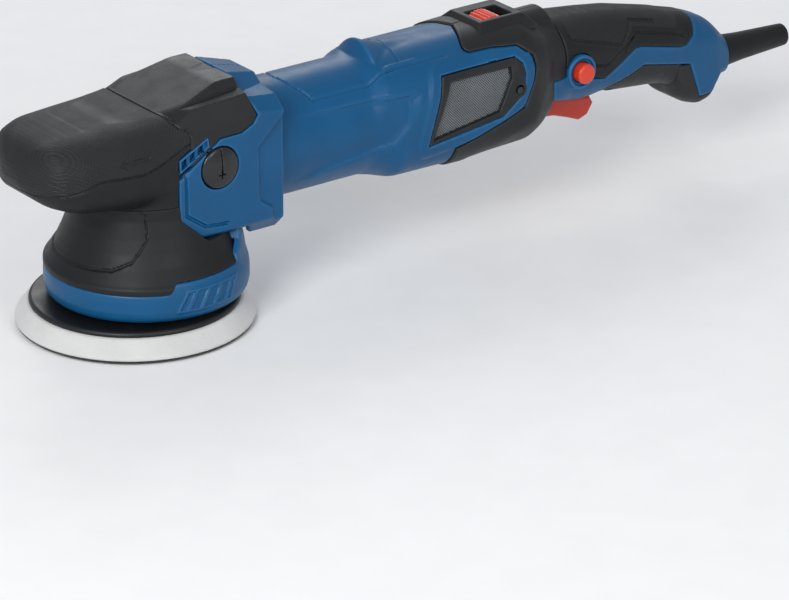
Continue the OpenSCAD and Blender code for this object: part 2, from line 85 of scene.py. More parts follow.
def rail(x, xs, vs, soft):
    """Value that runs through the stations, rounded over a length of about soft."""
    key = (tuple(xs), tuple(vs), soft)
    if key not in rail_tables:
        places = np.arange(xs[0] - RAIL_MARGIN, xs[-1] + RAIL_MARGIN, RAIL_STEP)
        values = np.interp(places, xs, vs)
        if soft > 0:
            n = int(6 * soft) + 1
            bell = np.exp(-0.5 * (np.arange(-n, n + 1) * RAIL_STEP / soft) ** 2)
            values = np.convolve(np.pad(values, n, mode="edge"), bell / bell.sum(), mode="valid")
        rail_tables[key] = (places, values)
    return np.interp(x, *rail_tables[key])


def rounded(ay, z, hw, lo, hi, rt, rb):
    """Rounded rectangle across Y and Z with its own top and bottom corner radii."""
    split = lo + (hi - lo) * rb / (rb + rt)
    top = z > split
    r = np.where(top, rt, rb)
    dy = ay - hw + r
    dz = np.where(top, z - hi, lo - z) + r
    return np.hypot(np.maximum(dy, 0), np.maximum(dz, 0)) + np.minimum(np.maximum(dy, dz), 0) - r


def loft(x, ay, z, rows, soft):
    """Body along X. A row is x, half width, bottom, top, and the top and bottom corner radii."""
    xs = [r[0] for r in rows]
    hw, lo, hi, rt, rb = [rail(x, xs, [r[i] for r in rows], soft) for i in range(1, 6)]
    return rounded(ay, z, hw, lo, hi, rt, rb)


def outline(u, v, pts, r=0.0):
    """Distance to a polygon, with corners rounded by r from outside."""
    p = np.array(pts, float)
    best = np.full(np.broadcast(u, v).shape, 1e9)
    inside = np.zeros(best.shape, bool)
    for a, b in zip(p, np.roll(p, -1, axis=0)):
        e = b - a
        wu, wv = u - a[0], v - a[1]
        t = np.clip((wu * e[0] + wv * e[1]) / (e @ e), 0, 1)
        best = np.minimum(best, (wu - t * e[0]) ** 2 + (wv - t * e[1]) ** 2)
        crosses = (a[1] > v) != (b[1] > v)
        if abs(e[1]) > 1e-9:
            inside ^= crosses & (u < a[0] + (v - a[1]) * e[0] / e[1])
    d = np.sqrt(best)
    return np.where(inside, -d, d) - r


def line_dist(u, v, pts):
    """Distance to an open polyline."""
    best = 1e9
    for a, b in zip(pts[:-1], pts[1:]):
        e = (b[0] - a[0], b[1] - a[1])
        wu, wv = u - a[0], v - a[1]
        t = np.clip((wu * e[0] + wv * e[1]) / (e[0] ** 2 + e[1] ** 2), 0, 1)
        best = np.minimum(best, (wu - t * e[0]) ** 2 + (wv - t * e[1]) ** 2)
    return np.sqrt(best)


def groove(form, dist, half, depth):
    """Cuts a rounded groove of that half width and depth along dist = 0."""
    return form + depth * np.clip(1 - (dist / half) ** 2, 0, 1)


def step_in(t, width):
    """Smooth step from 0 to 1 as t goes through 0 over width."""
    s = np.clip(t / width + 0.5, 0, 1)
    return s * s * (3 - 2 * s)


# ---------- surface nets ----------
def nets(values, lo, step):
    """Points and quads of the surface where the values on a grid go through 0."""
    inside = values < 0
    cells = np.array(values.shape) - 1
    total = int(np.prod(cells))
    sums = np.zeros((3, total))
    count = np.zeros(total)
    quads = []
    for axis in range(3):
        unit = np.eye(3, dtype=int)[axis]
        u, w = [(1, 2), (2, 0), (0, 1)][axis]
        a = inside[tuple(slice(0, -1) if i == axis else slice(None) for i in range(3))]
        b = inside[tuple(slice(1, None) if i == axis else slice(None) for i in range(3))]
        idx = np.argwhere(a != b)
        if not len(idx):
            continue
        v0 = values[tuple(idx.T)]
        v1 = values[tuple((idx + unit).T)]
        p = idx.astype(float)
        p[:, axis] += v0 / (v0 - v1)
        corners = []
        for du, dw in ((1, 1), (0, 1), (0, 0), (1, 0)):
            c = idx.copy()
            c[:, u] -= du
            c[:, w] -= dw
            flat = np.ravel_multi_index(tuple(c.T), cells)
            corners.append(flat)
            for i in range(3):
                sums[i] += np.bincount(flat, p[:, i], total)
            count += np.bincount(flat, minlength=total)
        q = np.stack(corners, 1)
        flip = v0 > v1
        q[flip] = q[flip][:, ::-1]
        quads.append(q)
    used = np.flatnonzero(count)
    new = np.full(total, -1)
    new[used] = np.arange(len(used))
    pts = (sums[:, used] / count[used]).T * step + lo
    return pts, new[np.concatenate(quads)]


def gradient(form, p, h=0.05):
    """Slope of the form at each point, from steps of h either way."""
    g = np.empty_like(p)
    for i in range(3):
        d = np.zeros(3)
        d[i] = h
        a, b = p + d, p - d
        g[:, i] = (form(*a.T) - form(*b.T)) / (2 * h)
    return g


def add_mesh(name, pts, faces, normals=None):
    """Smooth mesh object from points in millimetres."""
    mesh = bpy.data.meshes.new(name)
    mesh.from_pydata((np.asarray(pts) * MM).tolist(), [], [list(map(int, f)) for f in faces])
    mesh.polygons.foreach_set("use_smooth", [True] * len(mesh.polygons))
    if normals is not None:
        mesh.normals_split_custom_set_from_vertices(normals.tolist())
    mesh.update()
    obj = bpy.data.objects.new(name, mesh)
    bpy.context.scene.collection.objects.link(obj)
    return obj


# In grid steps: the margin round a piece's box, and how far a point may move in one pass and in all
GRID_MARGIN = 1.5
PASS_REACH = 0.5
FULL_REACH = 0.9
PASSES = 3


def solid(name, form, lo, hi, step):
    """Closed mesh of form(x, y, z) < 0 inside the box lo to hi."""
    lo, hi = np.array(lo, float) - GRID_MARGIN * step, np.array(hi, float) + GRID_MARGIN * step
    n = np.ceil((hi - lo) / step).astype(int) + 1
    x, y, z = [lo[i] + step * np.arange(n[i]) for i in range(3)]
    field = form(x[:, None, None], y[None, :, None], z[None, None, :])
    v = np.array(np.broadcast_to(field, n), dtype=np.float32)
    v[v == 0] = 1e-4
    for axis in range(3):
        for end in (0, -1):
            v[tuple(end if i == axis else slice(None) for i in range(3))] = step
    pts, quads = nets(v, lo, step)
    moved = pts.copy()
    for _ in range(PASSES):
        g = gradient(form, moved)
        d = form(*moved.T)
        move = g * (-d / np.maximum((g * g).sum(1), 0.2))[:, None]
        length = np.linalg.norm(move, axis=1)
        move *= (np.minimum(length, PASS_REACH * step) / np.maximum(length, 1e-9))[:, None]
        moved += move
    far = np.linalg.norm(moved - pts, axis=1)
    keep = np.minimum(1, FULL_REACH * step / np.maximum(far, 1e-9))[:, None]
    pts = pts + (moved - pts) * keep
    g = gradient(form, pts)
    normals = g / np.maximum(np.linalg.norm(g, axis=1), 1e-9)[:, None]
    return add_mesh(name, pts, quads, normals)


def mirrored(obj, name):
    """The same piece on the tool's other side."""
    mesh = obj.data
    pts = np.array([v.co for v in mesh.vertices]) / MM * [1, -1, 1]
    faces = [list(p.vertices)[::-1] for p in mesh.polygons]
    other = add_mesh(name, pts, faces)
    for m in mesh.materials:
        other.data.materials.append(m)
    other.data.polygons.foreach_set("material_index", [p.material_index for p in mesh.polygons])
    normals = np.zeros((len(mesh.vertices), 3))
    loops = np.array([c.vertex_index for c in mesh.loops])
    normals[loops] = np.array([c.normal for c in mesh.loops])
    other.data.normals_split_custom_set_from_vertices((normals * [1, -1, 1]).tolist())
    return other


def lathe(name, profile, centre_x, sides=192):
    """Solid turned about the vertical through centre_x; profile = [(r, z), ...] from axis to axis."""
    pts, rings = [], []
    for r, z in profile:
        start = len(pts)
        if r < 1e-6:
            pts.append((centre_x, 0, z))
            rings.append([start] * sides)
            continue
        for k in range(sides):
            a = 2 * math.pi * k / sides
            pts.append((centre_x + r * math.cos(a), r * math.sin(a), z))
        rings.append(list(range(start, start + sides)))
    faces = []
    for low, high in zip(rings, rings[1:]):
        for k in range(sides):
            j = (k + 1) % sides
            corners = list(dict.fromkeys((low[k], low[j], high[j], high[k])))
            if len(corners) > 2:
                faces.append(corners)
    return add_mesh(name, pts, faces)


# ---------- materials ----------
class Shader:
    """One material's nodes. A value given to a call is a number, a colour or a node's output."""

    def __init__(self, name):
        self.material = bpy.data.materials.new(name)
        self.material.use_nodes = True
        tree = self.material.node_tree
        tree.nodes.clear()
        self.new, self.link = tree.nodes.new, tree.links.new
        self.place = self.new("ShaderNodeTexCoord").outputs["Object"]

    def put(self, socket, value):
        if isinstance(value, tuple):
            socket.default_value = (*value, 1)
        elif isinstance(value, (int, float)):
            socket.default_value = value
        else:
            self.link(value, socket)

    def noise(self, scale, octaves=2.0):
        node = self.new("ShaderNodeTexNoise")
        node.inputs["Scale"].default_value = scale
        node.inputs["Detail"].default_value = octaves
        self.link(self.place, node.inputs["Vector"])
        return node.outputs[0]

    def mix(self, first, second, share):
        node = self.new("ShaderNodeMix")
        node.data_type = "RGBA"
        for socket, value in ((0, share), (6, first), (7, second)):
            self.put(node.inputs[socket], value)
        return node.outputs[2]

    def maths(self, operation, *values):
        node = self.new("ShaderNodeMath")
        node.operation = operation
        for socket, value in zip(node.inputs, values):
            self.put(socket, value)
        return node.outputs[0]

    def remap(self, source, *limits):
        """Takes the range of the first two limits to that of the other two, or to 0 and 1."""
        node = self.new("ShaderNodeMapRange")
        self.link(source, node.inputs[0])
        for i, value in enumerate(limits, 1):
            node.inputs[i].default_value = value
        return node.outputs[0]

    def axes(self):
        node = self.new("ShaderNodeSeparateXYZ")
        self.link(self.place, node.inputs[0])
        return node.outputs

    def waves(self, source, pitch):
        return self.maths("SINE", self.maths("MULTIPLY", source, 2 * math.pi / pitch))


DOT_PITCH = 0.0013
WEAVE_PITCH = 0.0015


def dots(shader, color, base, grain, gap_shade):
    """Fine moulded dots, with painted shade darkening the gaps between them."""
    x, y, z = shader.axes()
    across = shader.waves(shader.maths("ADD", x, y), DOT_PITCH)
    bumps = shader.remap(shader.maths("MULTIPLY", across, shader.waves(z, DOT_PITCH)), -0.4, 0.9)
    # Painted shade: the gaps between the dots are darkened
    gap_shade_mask = shader.maths("SUBTRACT", gap_shade, shader.maths("MULTIPLY", bumps, gap_shade))
    height = shader.maths("ADD", shader.maths("MULTIPLY", grain, 0.3), bumps)
    return shader.mix(base, tuple(c * 0.2 for c in color), gap_shade_mask), height


def weave(shader, color, base, grain, gap_shade):
    """Crossed wires, with the holes painted dark as the shade of the inside behind the mesh."""
    x, y, z = shader.axes()
    rising = shader.waves(shader.maths("ADD", x, z), WEAVE_PITCH)
    falling = shader.waves(shader.maths("SUBTRACT", x, z), WEAVE_PITCH)
    wires = shader.remap(shader.maths("MAXIMUM", rising, falling), 0.1, 0.75)
    # Painted shade: the holes between the wires are near black
    return shader.mix(tuple(c * 0.12 for c in color), base, wires), wires


def brushed(shader, color, base, grain, gap_shade):
    """Grain drawn out along X."""
    stretch = shader.new("ShaderNodeMapping")
    stretch.inputs["Scale"].default_value = (0.06, 1, 1)
    lines = shader.new("ShaderNodeTexNoise")
    lines.inputs["Scale"].default_value = 300
    shader.link(shader.place, stretch.inputs[0])
    shader.link(stretch.outputs[0], lines.inputs["Vector"])
    return base, shader.maths("ADD", grain, lines.outputs[0])


def hooks(shader, color, base, grain, gap_shade):
    """Dense short hooks."""
    cells = shader.new("ShaderNodeTexVoronoi")
    cells.inputs["Scale"].default_value = 1500
    shader.link(shader.place, cells.inputs["Vector"])
    return base, cells.outputs["Distance"]


def material(name, color, rough=0.5, metal=0.0, coat=0.0, sheen=0.0, spec=0.5, grain=900.0, bump=0.05,
             vary=0.06, edge_light_and_wear=0.0, pattern=None, gap_shade=0.35):
    """Procedural surface: fine grain, slow colour drift, lighter edges (painted edge highlight and some wear) and
    an optional pattern.
    """
    shader = Shader(name)
    surface = shader.new("ShaderNodeBsdfPrincipled")
    shader.link(surface.outputs[0], shader.new("ShaderNodeOutputMaterial").inputs[0])
    constants = {"Metallic": metal, "Coat Weight": coat, "Coat Roughness": 0.25, "Sheen Weight": sheen,
                 "Specular IOR Level": spec}
    for socket, value in constants.items():
        surface.inputs[socket].default_value = value

    dark = tuple(c * (1 - vary) for c in color)
    light = tuple(min(1, c * (1 + vary)) for c in color)
    base = shader.mix(dark, light, shader.remap(shader.noise(35), 0.35, 0.65))
    height = shader.noise(grain, 3.0)
    if pattern:
        base, height = pattern(shader, color, base, height, gap_shade)
    # Lighter edges from Pointiness: a painted edge highlight, with some wear
    if edge_light_and_wear > 0:
        edges = shader.remap(shader.new("ShaderNodeNewGeometry").outputs["Pointiness"], 0.505, 0.56)
        edge_highlight_and_wear_tint = tuple(min(1, c * 1.9 + 0.03) for c in color)
        base = shader.mix(base, edge_highlight_and_wear_tint, shader.maths("MULTIPLY", edges, edge_light_and_wear))
    roughness = shader.remap(shader.noise(90, 4.0), 0.3, 0.7, max(0.02, rough - 0.05), min(1, rough + 0.05))
    relief = shader.new("ShaderNodeBump")
    relief.inputs["Strength"].default_value = min(1.0, bump * 4)
    relief.inputs["Distance"].default_value = 0.0003 if pattern in (None, brushed) else 0.0005
    shader.link(height, relief.inputs["Height"])
    shader.link(base, surface.inputs["Base Color"])
    shader.link(roughness, surface.inputs["Roughness"])
    shader.link(relief.outputs[0], surface.inputs["Normal"])
    return shader.material


def srgb(h):
    """Linear colour of a hex code."""
    c = [int(h[i:i + 2], 16) / 255 for i in (1, 3, 5)]
    return tuple(v / 12.92 if v <= 0.04045 else ((v + 0.055) / 1.055) ** 2.4 for v in c)


BLUE = material("housing_blue", (0.0015, 0.07, 0.18), rough=0.4, spec=0.28, edge_light_and_wear=0.4, bump=0.04, grain=1400,
                vary=0.05)
BLACK = material("plastic_black", (0.0105, 0.0118, 0.0132), rough=0.46, spec=0.3, edge_light_and_wear=0.25, bump=0.07,
                 grain=1600, vary=0.1)
SOFT = material("rubber_black", (0.0075, 0.0082, 0.009), rough=0.5, spec=0.26, bump=0.06, grain=1900,
                vary=0.08, edge_light_and_wear=0.15)
SKIN = material("textured_skin", (0.017, 0.019, 0.021), rough=0.52, spec=0.28, bump=0.12, pattern=dots,
                vary=0.08, gap_shade=0.6)
PLATE = material("plate_black", (0.005, 0.0055, 0.006), rough=0.45, spec=0.4, bump=0.04, vary=0.1)
GLOSSY = material("plug_black", srgb("#141516"), rough=0.28, bump=0.02, vary=0.1, edge_light_and_wear=0.2)
FOAM = material("foam_grey", (0.56, 0.56, 0.55), rough=0.92, bump=0.3, grain=700, vary=0.05, sheen=0.2)
HOOKS = material("hook_fabric", srgb("#1b1c1e"), rough=0.95, bump=0.3, pattern=hooks, sheen=0.3)
ORANGE = material("button_orange", (0.58, 0.035, 0.008), rough=0.35, coat=0.15, bump=0.02, vary=0.04,
                  edge_light_and_wear=0.2)
RED = material("trigger_red", (0.4, 0.02, 0.006), rough=0.4, coat=0.1, bump=0.03, vary=0.05, edge_light_and_wear=0.2)
MESH = material("filter_mesh", (0.2, 0.22, 0.235), rough=0.45, metal=0.3, bump=0.25, pattern=weave, vary=0.1)
ALU = material("cast_aluminium", (0.6, 0.61, 0.62), rough=0.42, metal=1.0, bump=0.12, grain=600, vary=0.06)
GEAR = material("gear_steel", (0.33, 0.34, 0.35), rough=0.32, metal=1.0, bump=0.03, vary=0.1)
STEEL = material("polished_steel", (0.66, 0.67, 0.69), rough=0.18, metal=1.0, bump=0.02, pattern=brushed)
DARK_STEEL = material("blackened_steel", (0.06, 0.062, 0.065), rough=0.35, metal=1.0, bump=0.02)
LAMS = material("lamination_steel", (0.28, 0.29, 0.3), rough=0.45, metal=1.0, bump=0.06, pattern=brushed)
COPPER = material("winding_copper", (0.62, 0.3, 0.12), rough=0.3, metal=1.0, bump=0.1, pattern=brushed)
BRASS = material("holder_brass", (0.7, 0.52, 0.24), rough=0.3, metal=1.0, bump=0.03)
CARBON = material("carbon", (0.03, 0.03, 0.03), rough=0.6, bump=0.05)
BOARD = material("board_green", (0.02, 0.12, 0.06), rough=0.35, coat=0.3, bump=0.03)
BY_SLOT = {"housing_blue": BLUE, "plastic_black": BLACK, "rubber_black": SOFT, "plate_black": PLATE,
           "foam_grey": FOAM, "hook_fabric": HOOKS, "button_orange": ORANGE, "trigger_red": RED,
           "cast_aluminium": ALU, "gear_steel": GEAR, "polished_steel": STEEL, "lamination_steel": LAMS,
           "winding_copper": COPPER, "holder_brass": BRASS, "carbon": CARBON, "board_green": BOARD}


def dress(obj, *materials):
    for each in materials:
        obj.data.materials.append(each)


def finish_piece(obj, slot, *nodes, body="housing"):
    """Rides on the body and stands for the nodes, in its slot's material where it has none."""
    if not obj.data.materials:
        dress(obj, BY_SLOT[slot])
    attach(obj, body)
    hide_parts(*nodes)


def finish_pair(left, slot, left_node):
    """Finishes a left piece and its mirror image, whose names say right for left."""
    if not left.data.materials:
        dress(left, BY_SLOT[slot])
    right = mirrored(left, left.name.replace("left", "right"))
    finish_piece(left, slot, left_node)
    finish_piece(right, slot, left_node.replace("left", "right"))


def paint(obj, rule):
    """Second material where rule(x, y, z) is true at a face's centre. Every face is a quad."""
    pts = np.array([v.co for v in obj.data.vertices]) / MM
    quads = np.array([list(p.vertices) for p in obj.data.polygons])
    c = pts[quads].mean(1)
    obj.data.polygons.foreach_set("material_index", rule(*c.T).astype(int).tolist())


# ---------- head ----------
# Wall thicknesses
GRIP_WALL = 3
BOOT_WALL = 2.6
SHELL_WALL = 2.5
COVER_WALL = 2.4
RING_WALL = 3

# Stations of the hood, as loft takes them
HOOD = [(-79.5, 8, 92, 103, 6.5, 5.5), (-78, 20, 88, 108.5, 11, 9.5), (-71, 31, 82, 113.2, 17, 14),
        (-58, 38.5, 77.5, 116, 22, 16), (-38, 41, 75, 117.2, 25, 17), (-20, 40.3, 74, 117.4, 22, 17),
        (-6, 37.8, 76, 117.8, 16, 17), (12, 37.4, 80, 121, 14, 17)]


def hood_form(x, ay, z):
    """Hood of the palm grip, with an elliptical nose in plan."""
    cap = np.hypot(np.maximum(-55 - x, 0) / 25.5, ay / 43.5)
    body = loft(x, ay, z, HOOD, 3.0)
    return smax(body, (cap - 1) * 24, 6)


def column(x, ay, z):
    """Turned body of the boot under the hood."""
    r = np.hypot(x, ay)
    heights = [20, 34.6, 36, 43.6, 50, 57, 66, 74, 100]
    radii = [53.4, 53.3, 52, 46.9, 43.8, 41, 38.2, 37.2, 37.2]
    return (r - rail(z, heights, radii, 0.5)) * 0.8


def black_head(x, ay, z):
    """Hood and boot together, with a fillet between them."""
    return smin(hood_form(x, ay, z), smax(column(x, ay, z), z - 88, 4), 4.5)


# Lower seam of the textured skin, along X
SEAM_LOW_X = [-90, -76, -66, -51, -25, -18, -2.6, 3.6]
SEAM_LOW_Z = [89, 89.5, 91.5, 97.0, 95.6, 97, 102, 105]


def seam_low(x, z):
    """Height of a point over the lower seam of the textured skin."""
    return z - rail(x, SEAM_LOW_X, SEAM_LOW_Z, 1.5)


def seam_up(x, ay):
    """Distance in front of the skin's rear seam, which curves back along the sides."""
    return np.interp(ay, [0, 10, 24, 30, 34, 36, 38], [-6, -6, -5.6, -3.6, -1, 3.6, 6]) - x


def skin_zone(x, y, z):
    """Negative on the textured skin."""
    return -smin(seam_low(x, z), seam_up(x, np.abs(y)), 1.5)


# Direction arrow on the sides of the grip
ARROW = [(-39, 102.6), (-34.6, 105.3), (-34.9, 103.4), (-21, 104.6), (-21, 102.6), (-34.4, 101.4),
         (-34.2, 99.8)]


def grip_form(x, y, z):
    ay = np.abs(y)
    f = black_head(x, ay, z)
    zone = skin_zone(x, y, z)
    f = f - 0.35 * step_in(-zone, 1.2)
    f = groove(f, zone, 0.8, 0.7)
    arrow = outline(x, z, ARROW)
    f = f + 0.5 * step_in(-arrow, 0.7) * (ay > 15)
    ribs = np.abs(((x * 0.5 + z) + 400) % 2.6 - 1.3)
    low = np.exp(-((x + 62) / 16) ** 2 - ((z - 97) / 9) ** 2)
    f = groove(f, ribs, 1.0, 0.35 * low * step_in(-zone, 2))
    shell = smax(f, -np.maximum(f + GRIP_WALL, 73.5 - z), 0.6)
    shell = smax(shell, 72 - z, 0.3)
    rear_low = outline(x, z, [(-95, 60), (-3.5, 60), (-3.5, 97.4), (4.0, 101.4), (4.0, 105), (-95, 105)])
    rear_top = np.maximum(-seam_up(x, ay) - 2.5, 104.5 - z)
    return smax(shell, np.minimum(rear_low, rear_top), 0.3)


def build_grip():
    obj = solid("grip_shell", grip_form, (-80.5, -43, 71), (7, 43, 119), 0.75)
    dress(obj, SOFT, SKIN)
    paint(obj, lambda x, y, z: skin_zone(x, y, z) < 0)
    finish_piece(obj, "rubber_black", "palm_grip")


# Moulded panel on the boot's front, as the angle from the nose and the height
BOOT_PANEL = [(-200, 74), (50, 74), (57, 69), (58, 57), (48, 47), (35, 42.5), (18, 41.5), (-200, 41.5)]
# Where the side covers overlap the boot
BOOT_CUT = [(-3, 110), (-3, 64), (11, 51.2), (40, 50.2), (46, 43), (80, 43), (80, 110)]


def boot_form(x, y, z):
    ay = np.abs(y)
    f = black_head(x, ay, z)
    from_nose = np.degrees(np.arctan2(ay, -x))
    from_rear = np.degrees(np.arctan2(ay, x))
    f = groove(f, outline(from_nose, z, BOOT_PANEL), 0.9, 0.6)
    f = smax(f, -np.maximum(f + BOOT_WALL, 30 - z), 0.5)
    # The lower edge steps up over the shroud, and the rear is open for the shroud's riser
    f = smax(f, 31.6 + 5.2 * step_in(108 - from_rear, 6) - z, 0.4)
    f = smax(f, (44 - from_rear) * 0.8, 0.5)
    f = smax(f, np.minimum((56.8 - from_rear) * 0.8, 40 - z), 0.4)
    f = smax(f, z - 72, 0.3)
    return smax(f, -(outline(x, z, BOOT_CUT) + 0.3), 0.4)


def build_boot():
    obj = solid("boot_cone", boot_form, (-54, -54, 31), (42, 54, 72.4), 0.75)
    finish_piece(obj, "rubber_black", "head_boot")


def head_roof(x, ay, z):
    """Blue roof behind the cover: a crest over a lower shoulder, each of two sloping planes."""
    back = x - 45
    upper = np.maximum((z - 127.5 + 0.26 * back) / 1.03, 0.6 * ay + 0.8 * z - 110.2 + 0.31 * back)
    lower = np.maximum(0.13 * ay + 0.99 * z - 121.8 + 0.127 * back,
                       0.66 * ay + 0.75 * z - 109.3 + 0.107 * back)
    return np.minimum(upper, lower)


def cover_roof(x, ay, z):
    """Black roof of the cover: a crown and a shelf with a crease between them, and a sloping brow."""
    slope = (z - 117.7 - 0.284 * (x + 6)) / 1.04
    upper = seq_max(0.5, z - 128, 0.83 * ay + 0.55 * z - 88.66)
    shelf = z - 120.7 - 0.065 * (np.clip(x, 5, 42) - 5) + 0.2 * (ay - 26)
    facet = 0.894 * ay + 0.447 * z - 81.2 - 0.045 * x
    lower = smax(shelf, facet, 0.6)
    roof = np.minimum(upper, lower)
    crease = np.abs(upper - lower) + np.maximum(6 - x, 0)
    brow = 0.418 * ay + 0.909 * z - 115.9 - 0.44 * (x + 6)
    return smax(groove(roof, crease, 0.9, 0.5), smax(slope, brow, 1.5), 0.8)


# Outlines from the side: the top cover, a side cover, the vent and the panel line
COVER = [(-12, 84.5), (-2, 87), (22.5, 103.4), (35.5, 103.6), (42.3, 107), (45.3, 111), (43, 119), (42, 124),
         (42, 140), (-12, 140)]
SIDE = [(-3.2, 87), (-3.2, 64.2), (11, 51.4), (15.5, 50.2), (39.5, 50.6), (46, 43.2), (62, 43.2), (62, 140),
        (-3.2, 140)]
VENT = [(-2.6, 96.7), (14.6, 105.3), (15.3, 100.6), (-2.3, 90.0)]
PANEL = [(3.7, 93), (0.7, 87.5), (0.8, 66), (12.3, 57.7), (26, 56.4)]
# The cover's front edge curves back along the sides
FRONT_X = -5.3
FRONT_AY = [0, 24, 30, 34, 36, 38]
FRONT_BACK = [0, 0.4, 2.4, 4.6, 9, 11]
PLUG_X, PLUG_Z = 21.5, 87.8


def head_body(x, ay, z):
    """Outer form of the side covers, with flanks that step in near the barrel."""
    step_x = rail(z, [43, 58.5, 63.8, 93.2, 107.5, 125], [56, 54, 46.5, 46, 61, 75], 0.8)
    side = ay - 38 + 1.9 * step_in(x - step_x, 3.5)
    chamfer = 0.692 * ay - 0.722 * z + 11.75
    return seq_max(0.9, side, chamfer, head_roof(x, ay, z))


def cover_body(x, ay, z):
    return seq_max(0.9, ay - 37.5, cover_roof(x, ay, z))


def plug_hole(x, z):
    return np.hypot(x - PLUG_X, z - PLUG_Z) - 11.6


def cover_left_form(x, y, z):
    ay = np.abs(y)
    f = head_body(x, ay, z)
    outer = groove(f, line_dist(x, z, PANEL), 1.15, 1.5 * (ay > 30))
    outer = smax(outer, outline(x, z, SIDE), 1.0)
    hollow = np.maximum(seq_max(0.5, f + SHELL_WALL, outline(x, z, SIDE) - 3), ay - 34.6)
    shell = smax(outer, -hollow, 0.4)
    shell = smax(shell, -(outline(x, z, COVER) - 0.25), 0.5)
    shell = smax(shell, -plug_hole(x, z), 0.8)
    shell = smax(shell, -(np.hypot(x, ay) - 36.4 + np.maximum(z - 57, 0)), 0.4)
    shell = smax(shell, -outline(x, z, VENT, 0.6), 0.4)
    return smax(shell, y + 0.1, 0.2)


def crown_form(x, y, z):
    ay = np.abs(y)
    f = cover_body(x, ay, z)
    outer = smax(f, outline(x, z, COVER) + 0.15, 0.8)
    shell = smax(outer, -np.maximum(f + COVER_WALL, outline(x, z, COVER) - 4), 0.4)
    shell = smax(shell, FRONT_X + np.interp(ay, FRONT_AY, FRONT_BACK) - x, 0.5)
    return smax(shell, -outline(x, z, VENT, 0.5), 0.5)


def vent_left_form(x, y, z):
    """Insert with a sunken face and three slanted slots."""
    ay = np.abs(y)
    o = outline(x, z, VENT, 0.3)
    f = seq_max(0.5, o, ay - 37.6, 33.2 - ay)
    f = smax(f, -seq_max(0.3, o + 1.1, 36.2 - ay), 0.4)
    for k in range(3):
        cx, cz = 0.6 + 5.0 * k, 94.4 + 2.75 * k
        slot = [(cx - 1.3, cz - 2.6), (cx - 1.3, cz + 1.2), (cx + 1.5, cz + 2.6), (cx + 1.5, cz - 1.2)]
        f = smax(f, -np.maximum(outline(x, z, slot, 0.1), 33.8 - ay), 0.3)
    return smax(f, y, 0.2)


def plug_form(x, y, z):
    """Domed plug on each side, with a seam line, a cross slot and a boss behind it."""
    ay = np.abs(y)
    across = np.abs(x - PLUG_X)
    rr = np.hypot(x - PLUG_X, z - PLUG_Z)
    dome = rr * rr / 62
    f = seq_max(1.2, rr - 11.1, ay - 40.2 + dome, 34.8 - ay)
    line = np.maximum(39.3 - dome - ay, np.abs(z - 91) - 7)
    f = smax(f, -np.maximum(across - 0.35, line), 0.3)
    slot = np.abs(z - 84.5)
    cross = np.minimum(np.maximum(across - 0.4, slot - 2.2), np.maximum(slot - 0.4, across - 2.2))
    f = smax(f, -np.maximum(cross, 38.4 - ay), 0.25)
    return np.minimum(f, seq_max(0.4, rr - 3.9, 27 - ay, ay - 36))


def build_head():
    left = solid("side_cover_left", cover_left_form, (-4, -39, 42), (62, 0.5, 128), 0.75)
    finish_pair(left, "housing_blue", "head_cover_left")
    crown = solid("crown_cover", crown_form, (-6, -38.5, 84), (46, 38.5, 129), 0.75)
    finish_piece(crown, "plastic_black", "top_cover")
    vent = solid("vent_grille_left", vent_left_form, (-4, -38, 89), (17, -32, 107), 0.45)
    finish_pair(vent, "housing_blue", "vent_insert_left")
    plugs = solid("bearing_plugs", plug_form, (9, -40, 75), (34, 40, 100), 0.5)
    dress(plugs, GLOSSY)
    finish_piece(plugs, "plastic_black", "side_plugs")


RING_Z = [14, 16.4, 18.4, 22, 28, 31.4, 36.4, 42, 48]
RING_R = [50.4, 51, 52.6, 53.4, 53.4, 53.0, 51.6, 50.8, 49.6]
# The rear of the ring rises to the head: height over the rim by the angle from the rear
RISER_ANGLE = [0, 46.5, 49, 53, 57.5, 59]
RISER_HEIGHT = [15, 15, 9.5, 7, 4, 0]
RISER_END = 57.5


def shroud_form(x, y, z):
    ay = np.abs(y)
    r = np.hypot(x, ay)
    angle = np.degrees(np.arctan2(ay, x))
    out_r = rail(z, RING_Z, RING_R, 0.5)
    top = 31.8 + 4.7 * step_in(109 - angle, 7) + np.interp(angle, RISER_ANGLE, RISER_HEIGHT)
    f = r - out_r
    # Raised panel on each side, with a pocket and slanted ribs in it
    u = (angle - 85) * 0.92 + 0.55 * (z - 26.5)
    panel = seq_max(1.5, np.abs(u) - 17.5, np.abs(z - 26.8) - 6)
    f = f - 0.55 * step_in(-panel, 1.0)
    pocket = seq_max(1.2, np.abs(u) - 15.8, np.abs(z - 26.8) - 4.5)
    f = f + 0.9 * step_in(-pocket, 0.8)
    rib = np.abs(np.mod(u + 40, 7.9) - 3.95)
    f = f - 0.8 * step_in(1.3 - rib, 0.8) * step_in(-pocket, 1.0)
    form = smax(smax(f, (z - top) * 0.7, 1.2), 16.4 - z, 0.7)
    inner = smax(r - out_r + RING_WALL, np.where(angle < RISER_END, z - 45.6, -5.0), 0.5)
    form = smax(form, -inner, 0.6)
    return smax(form, -np.maximum(r - 37.2, (angle - RISER_END) * 0.7 - 8), 0.4)


def build_shroud():
    ring = solid("ring_guard", shroud_form, (-54.5, -54.5, 15.8), (54.5, 54.5, 49.5), 0.75)
    finish_piece(ring, "housing_blue", "shroud")


